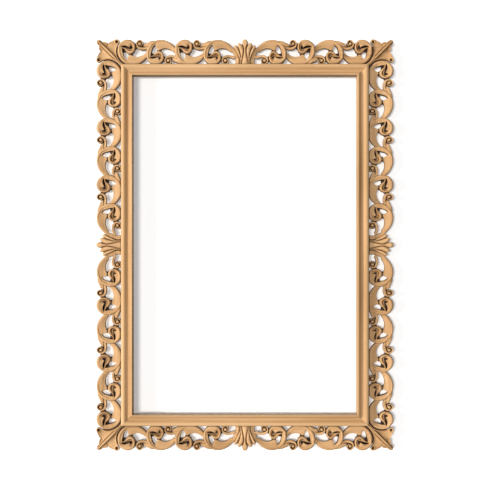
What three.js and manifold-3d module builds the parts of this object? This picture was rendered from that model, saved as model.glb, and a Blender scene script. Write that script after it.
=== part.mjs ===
// Carved openwork mirror frame. A mitred moulding carries a border of C-scrolls, corner leaves
// and palmettes. The back carries turn buttons for the pane, D-ring hangers and felt bumpers.
// Millimetres. X is right, Z is up, the front faces -Y and the wall is the plane Y = 0.

import * as THREE from "three";
import { mergeVertices } from "three/addons/utils/BufferGeometryUtils.js";
import Module from "manifold-3d";

// Moulding
const SIGHT_WIDTH = 594;
const SIGHT_HEIGHT = 898;
const MOULDING_WIDTH = 33;
const LIP_HEIGHT = 36;
const LIP_FROM_SIGHT = 5;
const LIP_ROUND = 3;
const LIP_SLOPE = 3;
const HOLLOW_HEIGHT = 28;
const HOLLOW_FROM_SIGHT = 12;
const BEAD_HEIGHT = 33;
const BEAD_FROM_SIGHT = 25;
const EDGE_HEIGHT = 24;
const REBATE_WIDTH = 10;
const REBATE_DEPTH = 12;

// Carved border
const BORDER_WIDTH = 67;
const BORDER_SET = 4;
const RELIEF = 18;
const CORNER_LENGTH = 56;
const PALMETTE_WIDTH = 72;
const SCROLL_PITCH = 76;
const SCROLL_SHRINK = 0.75;
const SCROLL_PROPORTION = 1.8;
const RIBBON_WIDTH = 20;
const TAIL_LEAN = 9.5;
const CURL_RADIUS = 16;
const CURL_SHRINK = 0.85;
const CURL_WIDTH = 8;
const CURL_BITE = 3;
const SEAT_BITE = 2;
const RIB_WIDTH = 16;
const FAN_RIB_WIDTH = 10;
const VEIN_WIDTH = 12;

// Mitre splines
const SPLINE_THICKNESS = 4;
const SPLINE_LENGTH = 11;
const SPLINE_ACROSS = 12;
const SPLINE_HEIGHT = 17;

// Screws
const SHANK_RADIUS = 1.75;
const SHANK_LENGTH = 10;
const HEAD_RADIUS = 3.5;
const HEAD_HEIGHT = 1.8;

// Turn buttons
const BUTTON_THICKNESS = 1.5;
const BUTTON_RADIUS = 5;
const BUTTON_REACH = 9;
const BUTTON_FROM_SIGHT = 18;
const RAIL_BUTTON_FROM_CORNER = 150;
const STILE_BUTTON_FROM_CORNER = 230;

// D-ring hangers
const HANGER_FROM_CORNER = 100;
const HANGER_FROM_SIGHT = 21.5;
const STRAP_WIDTH = 12;
const STRAP_LENGTH = 33;
const STRAP_THICKNESS = 1.2;
const STRAP_SCREW_FROM_BAR = 11;
const STRAP_SCREW_SPACING = 15;
const RING_WIRE_RADIUS = 1.2;
const RING_HALF_WIDTH = 11;
const RING_CORNER = 3;
const RING_SIDE = 8;

// Felt bumpers
const BUMPER_RADIUS = 7;
const BUMPER_THICKNESS = 6;
const BUMPER_FROM_CORNER = 12;
const BUMPER_FROM_SIGHT = 21.5;

// Fits
const GLUE_GAP = 0.3;
const RUNNING_CLEARANCE = 0.4;

const WOOD = { color: "#d4a272", roughness: 0.5, metalness: 0 };
const STEEL = { color: "#b9b6ae", roughness: 0.4, metalness: 0.9 };
const BRASS = { color: "#c9a356", roughness: 0.4, metalness: 0.9 };
const FELT = { color: "#6b5b4c", roughness: 0.95, metalness: 0 };

const wasm = await Module();
wasm.setup();

function toSolid(geometry) {
  const bare = geometry.clone();
  bare.deleteAttribute("normal");
  bare.deleteAttribute("uv");
  const merged = mergeVertices(bare, 1e-4);
  return new wasm.Manifold(new wasm.Mesh({
    numProp: 3,
    vertProperties: new Float32Array(merged.attributes.position.array),
    triVerts: new Uint32Array(merged.index.array),
  }));
}

function toGeometry(solid) {
  const mesh = solid.getMesh();
  const geometry = new THREE.BufferGeometry();
  geometry.setAttribute("position", new THREE.BufferAttribute(new Float32Array(mesh.vertProperties), 3));
  geometry.setIndex(new THREE.BufferAttribute(new Uint32Array(mesh.triVerts), 1));
  geometry.computeVertexNormals();
  return geometry;
}

function joined(pieces) {
  return pieces.map(toSolid).reduce((whole, piece) => whole.add(piece));
}

function cut(solid, cutters) {
  return cutters.map(toSolid).reduce((rest, cutter) => rest.subtract(cutter), solid);
}

// A value read off the straight lines between [position, value] stops.
function between(stops, position) {
  const place = Math.min(position, stops.at(-1)[0]);
  const next = Math.max(1, stops.findIndex((stop) => stop[0] > place - 1e-6));
  const [p0, v0] = stops[next - 1];
  const [p1, v1] = stops[next];
  return THREE.MathUtils.mapLinear(place, p0, p1, v0, v1);
}

// A body through rings of points that run clockwise as seen along the path.
function loft(rings, closed = false) {
  const count = rings[0].length;
  const faces = [];
  const spans = closed ? rings.length : rings.length - 1;
  for (let i = 0; i < spans; i += 1) {
    const here = i * count;
    const ahead = ((i + 1) % rings.length) * count;
    for (let j = 0; j < count; j += 1) {
      const k = (j + 1) % count;
      faces.push(here + j, here + k, ahead + k, here + j, ahead + k, ahead + j);
    }
  }
  const end = (rings.length - 1) * count;
  for (let j = 1; j < count - 1 && !closed; j += 1) {
    faces.push(0, j + 1, j, end, end + j, end + j + 1);
  }
  const geometry = new THREE.BufferGeometry().setFromPoints(rings.flat());
  geometry.setIndex(faces);
  return geometry;
}

// Carved sections from one edge to the other: [part of the width, part of the height].
const CHANNEL = [[0, 1], [0.55, 0.72], [1, 0.88]];
const RIDGE = [[0, 0.7], [0.5, 1], [1, 0.7]];
const FLAT = [[0, 1], [1, 0.9]];

function ribbonRing(left, right, height, section) {
  const across = (part, share) => new THREE.Vector3(
    THREE.MathUtils.lerp(left.x, right.x, part),
    THREE.MathUtils.lerp(left.y, right.y, part),
    height * share,
  );
  return [across(0, 0), ...section.map(([part, share]) => across(part, share)), across(1, 0)];
}

// A carved ribbon along a curve. The stops give shares of its width, from the middle, and of the
// relief along it.
function carvedRibbon(points, width, widths, heights, section, steps) {
  const curve = new THREE.QuadraticBezierCurve(...points.map(([x, y]) => new THREE.Vector2(x, y)));
  const rings = [];
  for (let i = 0; i <= steps; i += 1) {
    const t = i / steps;
    const middle = curve.getPoint(t);
    const tangent = curve.getTangent(t);
    const side = new THREE.Vector2(-tangent.y, tangent.x).multiplyScalar(width * between(widths, t));
    const height = RELIEF * between(heights, t);
    rings.push(ribbonRing(middle.clone().add(side), middle.clone().sub(side), height, section));
  }
  return loft(rings);
}

// The scrolls are logarithmic spirals: each quarter turn shrinks the outer edge by one share.
// The angle counts down from the tail on the right, through the foot at 270 degrees, to the eye.
// A foot of this radius makes the scroll fill the border from the moulding to the outer edge.
const growth = -Math.log(SCROLL_SHRINK) / (Math.PI / 2);
const swell = Math.exp(growth * Math.atan(growth)) / Math.hypot(1, growth);
const footRadius = (BORDER_WIDTH + SEAT_BITE) / (swell * (1 + SCROLL_SHRINK ** 2));
const TAIL = 345;
const LAST_TAIL = 385;
const LEAN_START_ANGLE = 330;
const LEAF_START_ANGLE = 264;
const LEAF_STEP_ANGLE = 1.5;
const SCROLL_END = -165;

const SCROLL = {
  eye: new THREE.Vector2(swell * footRadius * SCROLL_SHRINK, swell * footRadius - SEAT_BITE),
  radius: footRadius,
  shrink: SCROLL_SHRINK,
  flare: 0,
  lean: 0,
  width: RIBBON_WIDTH,
  widths: [
    [SCROLL_END, 0.43], [0, 0.78], [90, 1], [135, 0.77], [180, 0.7], [217, 0.81], [245, 0.62],
    [LEAF_START_ANGLE - LEAF_STEP_ANGLE, 0.62], [LEAF_START_ANGLE + LEAF_STEP_ANGLE, 1.22],
    [285, 1.3], [307, 1.12], [327, 0.78], [TAIL, 0.58], [LAST_TAIL, 0.65],
  ],
  extra: [LEAF_START_ANGLE - LEAF_STEP_ANGLE, LEAF_START_ANGLE + LEAF_STEP_ANGLE],
  heights: [[SCROLL_END, 0.9], [90, 1], [180, 0.92], [270, 0.8], [TAIL, 0.58], [LAST_TAIL, 0.6]],
  root: LAST_TAIL,
  end: SCROLL_END,
  easing: 1.25,
  section: CHANNEL,
};

const LAST_SCROLL = { ...SCROLL, lean: TAIL_LEAN };

function outerRadius({ radius, shrink }, angle) {
  return radius * shrink ** ((270 - angle) / 90);
}

function polar(angle, length) {
  const radians = THREE.MathUtils.degToRad(angle);
  return new THREE.Vector2(Math.cos(radians), Math.sin(radians)).multiplyScalar(length);
}

// The small curl bites into the outer edge of its scroll on one side. On the other it flares out
// and springs from the shoulder of the next scroll, which is turned over.
const CURL_SIDE_ANGLE = 22;
const CURL_END = -45;
const curlSpiral = { radius: CURL_RADIUS, shrink: CURL_SHRINK };
const touching = outerRadius(SCROLL, CURL_SIDE_ANGLE) + outerRadius(curlSpiral, CURL_SIDE_ANGLE + 180);
const curlEye = polar(CURL_SIDE_ANGLE, touching - CURL_BITE).add(SCROLL.eye);
const nextEye = new THREE.Vector2(
  SCROLL.eye.x + SCROLL_PROPORTION * footRadius,
  BORDER_WIDTH - SEAT_BITE - SCROLL.eye.y,
);
const toNext = nextEye.clone().sub(curlEye);
const CURL_ROOT = THREE.MathUtils.radToDeg(toNext.angle());
const rootReach = toNext.length() - outerRadius(SCROLL, 540 - CURL_ROOT) + CURL_BITE;

const CURL = {
  ...curlSpiral,
  eye: curlEye,
  flare: rootReach / outerRadius(curlSpiral, CURL_ROOT) - 1,
  lean: 0,
  width: CURL_WIDTH,
  extra: [],
  widths: [[CURL_END, 0.9], [0, 1], [90, 1.19], [180, 1.39], [225, 1.1], [270, 1], [CURL_ROOT, 1.06]],
  heights: [[CURL_END, 0.9], [180, 0.8], [CURL_ROOT, 0.62]],
  root: CURL_ROOT,
  end: CURL_END,
  easing: 1.1,
  section: FLAT,
};

function spiralPoint(spiral, angle, inset) {
  const past = Math.max(0, (angle - 270) / (spiral.root - 270));
  const plain = outerRadius(spiral, angle);
  const lean = spiral.lean * THREE.MathUtils.smoothstep(angle, LEAN_START_ANGLE, LAST_TAIL);
  const reach = plain * (1 + spiral.flare * past ** 2) + lean - Math.min(inset, 0.92 * plain);
  return polar(angle, reach).add(spiral.eye);
}

// A run is a row of cells. Each motif is stretched to its cell and turned over in every other one.
function cells(length) {
  const count = Math.round(length / SCROLL_PITCH);
  const pitch = length / count;
  const stretch = pitch / (footRadius * SCROLL_PROPORTION);
  return Array.from({ length: count }, (_, i) => (
    { start: i * pitch, stretch, turned: i % 2 === 1, last: i === count - 1 }
  ));
}

function cellPoint(point, cell) {
  const x = cell.start + point.x * cell.stretch;
  return new THREE.Vector2(x, cell.turned ? BORDER_WIDTH - SEAT_BITE - point.y : point.y);
}

function spiralRibbon(spiral, start, steps, cell) {
  const swapped = spiral.section.map(([part, share]) => [1 - part, share]).reverse();
  const even = Array.from({ length: steps + 1 }, (_, i) => (
    THREE.MathUtils.lerp(start, spiral.end, (i / steps) ** spiral.easing)
  ));
  const angles = [...even, ...spiral.extra].sort((a, b) => b - a);
  const rings = angles.map((angle) => {
    const width = spiral.width * between(spiral.widths, angle);
    const outer = cellPoint(spiralPoint(spiral, angle, 0), cell);
    const inner = cellPoint(spiralPoint(spiral, angle, width), cell);
    const height = RELIEF * between(spiral.heights, angle);
    return cell.turned
      ? ribbonRing(inner, outer, height, swapped)
      : ribbonRing(outer, inner, height, spiral.section);
  });
  return loft(rings);
}

// One run of scrolls: x from the corner to the palmette, y outward from the moulding, z forward.
function scrollRun(length) {
  const pieces = cells(length).flatMap((cell) => [
    cell.last ? spiralRibbon(LAST_SCROLL, LAST_TAIL, 13, cell) : spiralRibbon(SCROLL, TAIL, 12, cell),
    spiralRibbon(CURL, CURL_ROOT, 5, cell),
  ]);
  const moulding = new THREE.BoxGeometry(4 * length, 2 * BORDER_WIDTH, 4 * RELIEF);
  return toGeometry(cut(joined(pieces), [moulding.translate(0, GLUE_GAP - BORDER_WIDTH, 0)]));
}

// The space that a scroll takes up as seen from the front, with a glue gap round it. The first
// scroll's back lies in a corner leaf, and the last one's tail on a palmette's flank.
const BACK_START_ANGLE = 285;
const BACK_END_ANGLE = 75;
const FLANK_START_ANGLE = LAST_TAIL + 5;
const FLANK_END_ANGLE = 240;

function scrollClearance(cell, from, to, place) {
  const outline = [SCROLL.eye];
  const steps = Math.ceil((from - to) / 10);
  for (let i = 0; i <= steps; i += 1) {
    const angle = THREE.MathUtils.lerp(from, to, i / steps);
    outline.push(spiralPoint(cell.last ? LAST_SCROLL : SCROLL, angle, -GLUE_GAP * 1.5));
  }
  const shape = new THREE.Shape(outline.map((point) => place(cellPoint(point, cell))));
  const block = new THREE.ExtrudeGeometry(shape, { depth: 4 * RELIEF, bevelEnabled: false });
  return block.translate(0, 0, -RELIEF);
}

// A leaf's web: a plate with a scalloped outline, which the ribs stand up from.
function web(outline, height) {
  const shape = new THREE.Shape(outline.map(([x, y]) => new THREE.Vector2(x, y)));
  return new THREE.ExtrudeGeometry(shape, { depth: RELIEF * height, bevelEnabled: false });
}

// A corner leaf on the diagonal: x and y run outward from the outer corner of the moulding.
function cornerLeaf(topRun, sideRun) {
  const b = BORDER_WIDTH;
  const outline = [
    [-0.1, -0.1], [-0.04, 0.45], [0, 0.88], [0.1, 0.99], [0.25, 0.98],
    [0.42, 0.84], [0.54, 0.89], [0.67, 0.85], [0.8, 0.97],
  ].map(([x, y]) => [b * x, b * y]);
  const mirrored = outline.slice(1).reverse().map(([x, y]) => [y, x]);
  const plate = web([...outline, [0.95 * b, 0.95 * b], ...mirrored], 0.62);
  const lobes = [
    [[0.1, 0.16], [0.33, 0.5], [0.14, 0.93]],
    [[0.3, 0.34], [0.48, 0.6], [0.54, 0.85]],
  ];
  const widths = [[0, 0.33], [0.6, 0.5], [1, 0.29]];
  const heights = [[0, 0.65], [0.6, 0.85], [1, 0.92]];
  const veins = lobes.flatMap((points) => [
    carvedRibbon(points.map(([x, y]) => [b * x, b * y]), VEIN_WIDTH, widths, heights, RIDGE, 3),
    carvedRibbon(points.map(([x, y]) => [b * y, b * x]), VEIN_WIDTH, widths, heights, RIDGE, 3),
  ]);
  const rib = carvedRibbon(
    [[-0.13 * b, -0.13 * b], [0.4 * b, 0.4 * b], [0.93 * b, 0.93 * b]],
    RIB_WIDTH,
    [[0, 0.69], [0.3, 0.5], [0.6, 0.25], [0.78, 0.28], [0.9, 0.5], [1, 0.28]],
    [[0, 0.85], [0.5, 1], [1, 0.9]],
    RIDGE,
    6,
  );
  const moulding = new THREE.BoxGeometry(2 * b, 2 * b, 4 * RELIEF).translate(GLUE_GAP - b, GLUE_GAP - b, 0);
  const inset = b - CORNER_LENGTH;
  const backs = [
    [topRun, ({ x, y }) => new THREE.Vector2(inset - x, y)],
    [sideRun, ({ x, y }) => new THREE.Vector2(y, inset - x)],
  ].map(([run, place]) => scrollClearance(cells(run)[0], BACK_START_ANGLE, BACK_END_ANGLE, place));
  return toGeometry(cut(joined([plate, rib, ...veins]), [moulding, ...backs]));
}

// A palmette: x from its middle, y outward from the moulding. The last tails close its flanks.
function palmette(run) {
  const w = PALMETTE_WIDTH / 2;
  const h = BORDER_WIDTH;
  const outline = [
    [0.55, -0.03], [0.6, 0.3], [0.82, 0.61], [0.8, 0.69], [0.68, 0.73], [0.53, 0.69], [0.45, 0.8],
    [0.32, 0.81], [0.18, 0.77],
  ].map(([x, y]) => [w * x, h * y]);
  const mirrored = outline.toReversed().map(([x, y]) => [-x, y]);
  const plate = web([...outline, ...mirrored], 0.55);
  const ribs = [
    { foot: 0.3, bend: 0.26, tip: 0.44, top: 0.8, heights: [[0, 0.7], [1, 0.9]] },
    { foot: 0.36, bend: 0.44, tip: 0.74, top: 0.71, heights: [[0, 0.65], [1, 0.85]] },
  ];
  const fan = ribs.flatMap(({ foot, bend, tip, top, heights }) => [-w, w].map((side) => (
    carvedRibbon(
      [[foot * side, -SEAT_BITE], [bend * side, 0.38 * h], [tip * side, top * h]],
      FAN_RIB_WIDTH,
      [[0, 0.35], [0.5, 0.4], [0.85, 0.5], [1, 0.3]],
      heights,
      RIDGE,
      3,
    )
  )));
  const middle = carvedRibbon(
    [[0, -SEAT_BITE], [0, 0.45 * h], [0, h]],
    RIB_WIDTH,
    [[0, 0.58], [0.5, 0.28], [0.68, 0.24], [0.88, 0.53], [1, 0.28]],
    [[0, 0.75], [0.6, 0.95], [1, 1]],
    RIDGE,
    6,
  );
  const moulding = new THREE.BoxGeometry(4 * w, 2 * h, 4 * RELIEF).translate(0, GLUE_GAP - h, 0);
  const flanks = [
    ({ x, y }) => new THREE.Vector2(x - run - w, y),
    ({ x, y }) => new THREE.Vector2(run + w - x, y),
  ].map((place) => scrollClearance(cells(run).at(-1), FLANK_START_ANGLE, FLANK_END_ANGLE, place));
  return toGeometry(cut(joined([plate, middle, ...fan]), [moulding, ...flanks]));
}

// The moulding's section: x outward from the sight edge, y forward from the back.
function mouldingSection() {
  const shape = new THREE.Shape();
  shape.moveTo(REBATE_WIDTH, 0);
  shape.lineTo(MOULDING_WIDTH, 0);
  shape.lineTo(MOULDING_WIDTH, EDGE_HEIGHT);
  shape.quadraticCurveTo(MOULDING_WIDTH, BEAD_HEIGHT, BEAD_FROM_SIGHT, BEAD_HEIGHT);
  shape.splineThru([
    new THREE.Vector2(HOLLOW_FROM_SIGHT, HOLLOW_HEIGHT),
    new THREE.Vector2(LIP_FROM_SIGHT, LIP_HEIGHT),
  ]);
  shape.quadraticCurveTo(LIP_SLOPE, LIP_HEIGHT, LIP_SLOPE, LIP_HEIGHT - LIP_ROUND);
  shape.lineTo(0, REBATE_DEPTH);
  shape.lineTo(REBATE_WIDTH, REBATE_DEPTH);
  return shape;
}

// A mitred member in the top position: the section along x, its ends cut back on the diagonals.
function member(length, across) {
  const options = { depth: 1, bevelEnabled: false, curveSegments: 3 };
  const geometry = new THREE.ExtrudeGeometry(mouldingSection(), options);
  const position = geometry.attributes.position;
  for (let i = 0; i < position.count; i += 1) {
    const reach = length / 2 + position.getX(i) - GLUE_GAP * Math.SQRT1_2;
    position.setZ(i, position.getZ(i) > 0.5 ? reach : -reach);
  }
  const right = new THREE.Vector3(1, 0, 0);
  const up = new THREE.Vector3(0, 1, 0);
  const forward = new THREE.Vector3(0, 0, 1);
  geometry.applyMatrix4(new THREE.Matrix4().makeBasis(up, forward, right));
  return geometry.translate(0, across / 2, 0);
}

// A loose spline across the mitre at the right end (1) or the left end (-1) of a member, and
// with a gap round it the slot that it sits in.
function spline(gap, end) {
  const size = [SPLINE_LENGTH, SPLINE_ACROSS, SPLINE_THICKNESS].map((length) => length + 2 * gap);
  return new THREE.BoxGeometry(...size).rotateZ((end * Math.PI) / 4);
}

function splineCentre(width, height) {
  const middle = (REBATE_WIDTH + MOULDING_WIDTH) / 2;
  return new THREE.Vector3(width / 2 + middle, height / 2 + middle, SPLINE_HEIGHT);
}

function rod(radius, from, to, sides) {
  const cylinder = new THREE.CylinderGeometry(radius, radius, to - from, sides);
  return cylinder.rotateX(Math.PI / 2).translate(0, 0, (from + to) / 2);
}

// A pan-head screw driven forward into the back, its head `seat` behind the wood.
function screw(seat) {
  const head = rod(HEAD_RADIUS, -seat - HEAD_HEIGHT, -seat, 8);
  const shank = rod(SHANK_RADIUS, -seat - HEAD_HEIGHT / 2, SHANK_LENGTH, 6);
  return toGeometry(joined([head, shank]));
}

function pilotHole(x, y) {
  return rod(SHANK_RADIUS + GLUE_GAP, -1, SHANK_LENGTH + GLUE_GAP, 6).translate(x, y, 0);
}

// A turn button lies along its member and turns on a screw through its round end.
function turnButton() {
  const shape = new THREE.Shape();
  shape.absarc(0, 0, BUTTON_RADIUS, Math.PI / 2, -Math.PI / 2, false);
  shape.absarc(BUTTON_REACH, 0, BUTTON_RADIUS, -Math.PI / 2, Math.PI / 2, false);
  const hole = new THREE.Path();
  hole.absarc(0, 0, SHANK_RADIUS + RUNNING_CLEARANCE, 0, 2 * Math.PI, true);
  shape.holes.push(hole);
  const options = { depth: BUTTON_THICKNESS, bevelEnabled: false, curveSegments: 3 };
  return new THREE.ExtrudeGeometry(shape, options).translate(0, 0, -GLUE_GAP - BUTTON_THICKNESS);
}

// Hangers stand upright on the back: y runs up from the bar of the ring, which is the hinge.
const barDepth = GLUE_GAP + STRAP_THICKNESS + RUNNING_CLEARANCE + RING_WIRE_RADIUS;
const strapScrews = [-STRAP_SCREW_FROM_BAR, -STRAP_SCREW_FROM_BAR - STRAP_SCREW_SPACING];

function strap() {
  const hole = RING_WIRE_RADIUS + RUNNING_CLEARANCE;
  const barrel = hole + STRAP_THICKNESS;
  const meet = Math.PI + Math.asin((barDepth - GLUE_GAP - STRAP_THICKNESS) / barrel);
  const shape = new THREE.Shape();
  shape.moveTo(-STRAP_LENGTH, GLUE_GAP);
  shape.absarc(0, barDepth, barrel, -Math.PI / 2, meet, false);
  shape.lineTo(-STRAP_LENGTH, GLUE_GAP + STRAP_THICKNESS);
  const eye = new THREE.Path();
  eye.absarc(0, barDepth, hole, 0, 2 * Math.PI, true);
  shape.holes.push(eye);
  const options = { depth: STRAP_WIDTH, bevelEnabled: false, curveSegments: 5 };
  const body = new THREE.ExtrudeGeometry(shape, options).translate(0, 0, -STRAP_WIDTH / 2);
  const up = new THREE.Vector3(0, 1, 0);
  const back = new THREE.Vector3(0, 0, -1);
  const left = new THREE.Vector3(-1, 0, 0);
  body.applyMatrix4(new THREE.Matrix4().makeBasis(up, back, left));
  const holes = strapScrews.map((y) => (
    rod(SHANK_RADIUS + GLUE_GAP, -2 * STRAP_THICKNESS, 1, 6).translate(0, y, 0)
  ));
  return toGeometry(cut(toSolid(body), holes));
}

function dRing() {
  const bar = RING_HALF_WIDTH - RING_CORNER;
  const line = new THREE.Path();
  line.moveTo(-bar, 0);
  line.lineTo(bar, 0);
  line.absarc(bar, -RING_CORNER, RING_CORNER, Math.PI / 2, 0, true);
  line.absarc(0, -RING_SIDE, RING_HALF_WIDTH, 0, -Math.PI, true);
  line.absarc(-bar, -RING_CORNER, RING_CORNER, Math.PI, Math.PI / 2, true);
  const points = line.getPoints(3);
  const loop = points.filter((point, i) => point.distanceTo(points.at(i - 1)) > 0.01);
  const rings = loop.map((point, i) => {
    const ahead = loop[(i + 1) % loop.length];
    const behind = loop.at(i - 1);
    const across = new THREE.Vector2(behind.y - ahead.y, ahead.x - behind.x).normalize();
    return Array.from({ length: 5 }, (_, j) => {
      const turn = (-2 * Math.PI * j) / 5;
      const side = across.clone().multiplyScalar(-RING_WIRE_RADIUS * Math.cos(turn)).add(point);
      return new THREE.Vector3(side.x, side.y, RING_WIRE_RADIUS * Math.sin(turn) - barDepth);
    });
  });
  return loft(rings, true);
}

function bumper() {
  return rod(BUMPER_RADIUS, -BUMPER_THICKNESS, -GLUE_GAP, 12);
}

function piece(name, geometry, look) {
  const mesh = new THREE.Mesh(geometry, new THREE.MeshStandardMaterial(look));
  mesh.name = name;
  return mesh;
}

const halfWidth = SIGHT_WIDTH / 2 + MOULDING_WIDTH + BORDER_WIDTH;
const halfHeight = SIGHT_HEIGHT / 2 + MOULDING_WIDTH + BORDER_WIDTH;
const topRun = halfWidth - CORNER_LENGTH - PALMETTE_WIDTH / 2;
const sideRun = halfHeight - CORNER_LENGTH - PALMETTE_WIDTH / 2;
const buttonSeat = BUTTON_THICKNESS + 2 * RUNNING_CLEARANCE;
const strapSeat = STRAP_THICKNESS + 2 * GLUE_GAP;

const carvings = {
  rail: { run: scrollRun(topRun), palmette: palmette(topRun) },
  stile: { run: scrollRun(sideRun), palmette: palmette(sideRun) },
};

// Each side is drawn in the top position and turned into place. Its ends are named for x < 0, x > 0.
const SIDES = [
  { name: "top", kind: "rail", ends: ["left", "right"], turn: 0, hanger: 0 },
  { name: "right", kind: "stile", ends: ["upper", "lower"], turn: -Math.PI / 2, hanger: -1 },
  { name: "bottom", kind: "rail", ends: ["right", "left"], turn: Math.PI, hanger: 0 },
  { name: "left", kind: "stile", ends: ["lower", "upper"], turn: Math.PI / 2, hanger: 1 },
];

function frameSide({ name, kind, ends, turn, hanger }) {
  const [length, across] = kind === "rail" ? [SIGHT_WIDTH, SIGHT_HEIGHT] : [SIGHT_HEIGHT, SIGHT_WIDTH];
  const fromCorner = kind === "rail" ? RAIL_BUTTON_FROM_CORNER : STILE_BUTTON_FROM_CORNER;
  const run = kind === "rail" ? topRun : sideRun;
  const edge = across / 2 + MOULDING_WIDTH;
  const side = new THREE.Group();
  side.rotation.z = turn;

  const pivotY = across / 2 + BUTTON_FROM_SIGHT;
  const pivots = [fromCorner - length / 2, length / 2 - fromCorner];
  const barX = hanger * (length / 2 - HANGER_FROM_CORNER);
  const hangerY = across / 2 + HANGER_FROM_SIGHT;
  const hangerHoles = hanger ? strapScrews.map((drop) => pilotHole(barX + hanger * drop, hangerY)) : [];
  const centre = splineCentre(length, across);
  const slots = [-1, 1].map((end) => (
    spline(GLUE_GAP, end).translate(end * centre.x, centre.y, centre.z)
  ));
  const holes = pivots.map((x) => pilotHole(x, pivotY));
  const wood = toGeometry(cut(toSolid(member(length, across)), [...slots, ...holes, ...hangerHoles]));
  side.add(piece(`${name}_${kind}`, wood, WOOD));

  ends.forEach((end, i) => {
    const scrolls = piece(`${name}_scrolls_${end}`, carvings[kind].run, WOOD);
    const direction = i === 0 ? 1 : -1;
    scrolls.position.set(-direction * (run + PALMETTE_WIDTH / 2), edge, BORDER_SET);
    scrolls.scale.x = direction;
    const button = piece(`${name}_turn_button_${end}`, turnButton(), BRASS);
    button.position.set(pivots[i], pivotY, 0);
    const pivot = piece(`${name}_pivot_screw_${end}`, screw(buttonSeat), STEEL);
    pivot.position.set(pivots[i], pivotY, 0);
    side.add(scrolls, button, pivot);
  });

  const fan = piece(`${name}_palmette`, carvings[kind].palmette, WOOD);
  fan.position.set(0, edge, BORDER_SET);
  side.add(fan);

  if (hanger) {
    const hung = new THREE.Group();
    hung.position.set(barX, hangerY, 0);
    hung.rotation.z = -turn;
    hung.add(piece(`${name}_hanger_strap`, strap(), STEEL));
    hung.add(piece(`${name}_d_ring`, dRing(), STEEL));
    strapScrews.forEach((drop, i) => {
      const held = piece(`${name}_hanger_screw_${i === 0 ? "upper" : "lower"}`, screw(strapSeat), STEEL);
      held.position.y = drop;
      hung.add(held);
    });
    side.add(hung);
  }
  return side;
}

// The corners are drawn at the top right and mirrored to the other three.
function corner(name, mirrorX, mirrorY) {
  const group = new THREE.Group();
  group.scale.set(mirrorX, mirrorY, 1);
  const leaf = piece(`${name}_corner_leaf`, cornerLeaf(topRun, sideRun), WOOD);
  leaf.position.set(halfWidth - BORDER_WIDTH, halfHeight - BORDER_WIDTH, BORDER_SET);
  const key = piece(`${name}_mitre_spline`, spline(0, 1), WOOD);
  key.position.copy(splineCentre(SIGHT_WIDTH, SIGHT_HEIGHT));
  const pad = piece(`${name}_felt_bumper`, bumper(), FELT);
  pad.position.set(SIGHT_WIDTH / 2 + BUMPER_FROM_SIGHT, SIGHT_HEIGHT / 2 - BUMPER_FROM_CORNER, 0);
  group.add(leaf, key, pad);
  return group;
}

// The pieces are drawn facing +Z with the wood's back at 0, then stood up off the wall.
const upright = new THREE.Group();
upright.rotation.x = Math.PI / 2;
upright.position.y = -BUMPER_THICKNESS;
SIDES.forEach((side) => upright.add(frameSide(side)));
upright.add(corner("top_left", -1, 1));
upright.add(corner("top_right", 1, 1));
upright.add(corner("bottom_left", -1, -1));
upright.add(corner("bottom_right", 1, -1));

const frame = new THREE.Group();
frame.add(upright);

export default frame;
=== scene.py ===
import bmesh
import bpy
import numpy as np
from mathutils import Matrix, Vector


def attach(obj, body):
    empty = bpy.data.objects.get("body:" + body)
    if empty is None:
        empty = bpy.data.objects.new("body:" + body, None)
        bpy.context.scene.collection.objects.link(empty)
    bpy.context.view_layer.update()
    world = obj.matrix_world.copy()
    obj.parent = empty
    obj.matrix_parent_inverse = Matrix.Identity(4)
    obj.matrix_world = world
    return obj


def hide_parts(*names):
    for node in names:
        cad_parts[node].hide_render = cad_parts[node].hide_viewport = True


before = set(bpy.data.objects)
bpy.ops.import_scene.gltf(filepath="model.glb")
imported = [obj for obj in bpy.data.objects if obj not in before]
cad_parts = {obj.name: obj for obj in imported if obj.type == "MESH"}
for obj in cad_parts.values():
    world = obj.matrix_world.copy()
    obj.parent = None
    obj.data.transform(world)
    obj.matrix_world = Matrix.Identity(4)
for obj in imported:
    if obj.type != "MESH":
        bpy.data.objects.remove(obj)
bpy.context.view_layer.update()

# Studio. The frame hangs on a white wall that takes its soft shadow, above a pale floor. A strip of
# key lamps and a grazing side lamp stand on the left, a broad lamp in front and another behind. The
# wall lets light and views through from behind, so that the back of the frame can be seen.
FRONT = -0.042
VIEW_DISTANCE = 2.4
VIEW_WIDTH = 1.2975
SENSOR = 36.0
STAGE_HALF = 3.0
FLOOR_DEPTH = 5.0
FLOOR_LEVEL = -1.35
WALL_BEHIND = 0.001
WALL_GLOW = 0.28
ROOM_LIGHT = 0.16
KEY_LAMPS = {"inner": 0.25, "middle": 0.35, "outer": 0.45}
KEY_STRENGTH = 0.71
KEY_SPREAD = 6


def linear(hex_colour):
    """The scene's linear colour for an sRGB hex value: the sRGB curve undone on each channel."""
    channel = np.array([int(hex_colour[i:i + 2], 16) for i in (1, 3, 5)]) / 255
    flat = np.where(channel < 0.04045, channel / 12.92, ((channel + 0.055) / 1.055) ** 2.4)
    return (*flat.tolist(), 1.0)


def put(tree, kind, inputs=None, **settings):
    """Adds a shader node with its settings, and gives each input a number or a link to a socket."""
    made = tree.nodes.new("ShaderNode" + kind)
    for name, value in settings.items():
        setattr(made, name, value)
    for name, value in (inputs or {}).items():
        if isinstance(value, bpy.types.NodeSocket):
            tree.links.new(value, made.inputs[name])
        else:
            made.inputs[name].default_value = value
    return made


def blank_material(name):
    """A material with no nodes yet, and its tree."""
    material = bpy.data.materials.new(name)
    material.use_nodes = True
    material.node_tree.nodes.clear()
    return material, material.node_tree


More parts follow.
